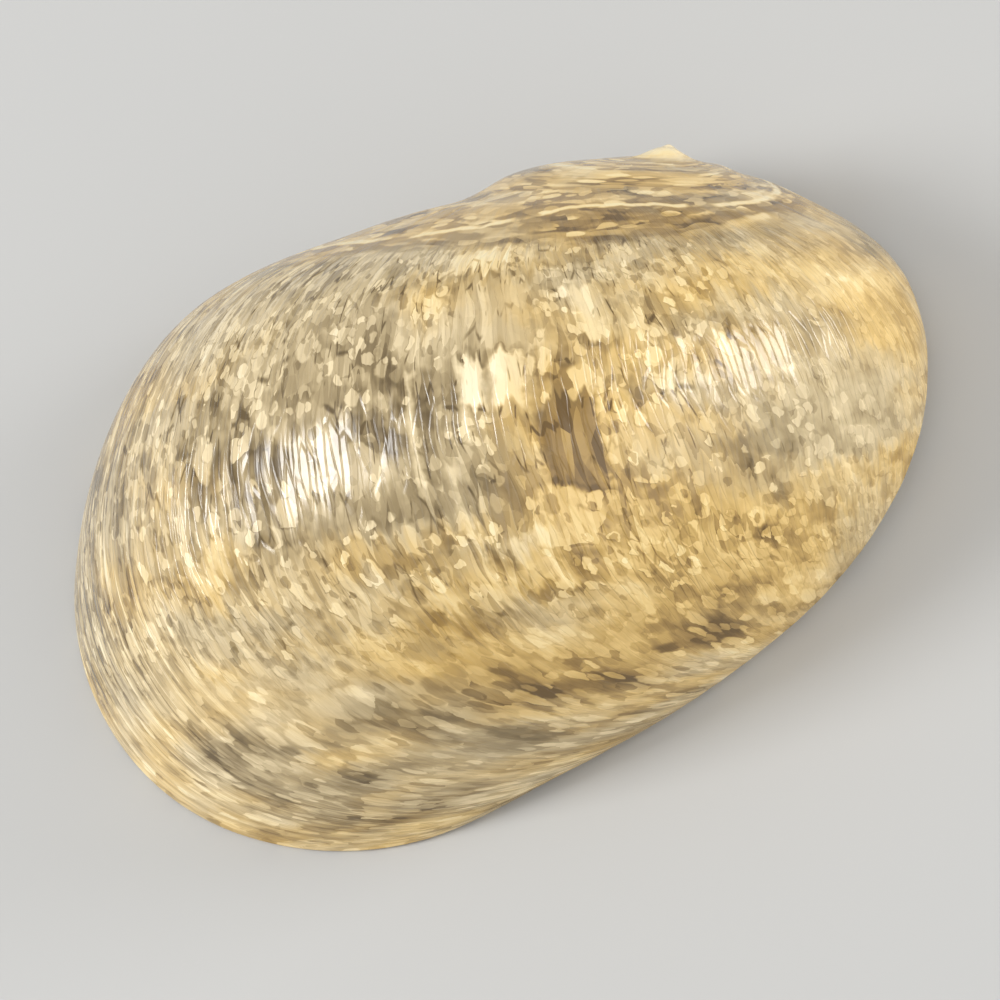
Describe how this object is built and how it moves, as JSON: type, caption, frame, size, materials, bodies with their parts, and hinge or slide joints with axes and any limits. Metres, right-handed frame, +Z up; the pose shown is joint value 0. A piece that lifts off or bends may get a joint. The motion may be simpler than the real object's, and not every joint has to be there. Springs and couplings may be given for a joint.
{
  "type": "polished nerite shell",
  "caption": "Domed sea snail shell with a low spire, fine growth lines and cream and olive-tan mottling, open below between a thin lip and a flat toothed septum.",
  "frame": {"origin": "middle of the shell's outline on the surface it rests on, in the plane of its mouth", "axes": "+Z up from the mouth to the back, +Y towards the spire, -X towards the thin edge of the lip, +X towards the back of the last whorl"},
  "size_m": [0.0293, 0.0249, 0.0133],
  "materials": {
    "shell": "polished shell, cream with olive-tan mottling, porcelain white inside"
  },
  "bodies": {
    "root": {"shell": "shell"}
  },
  "joints": []
}
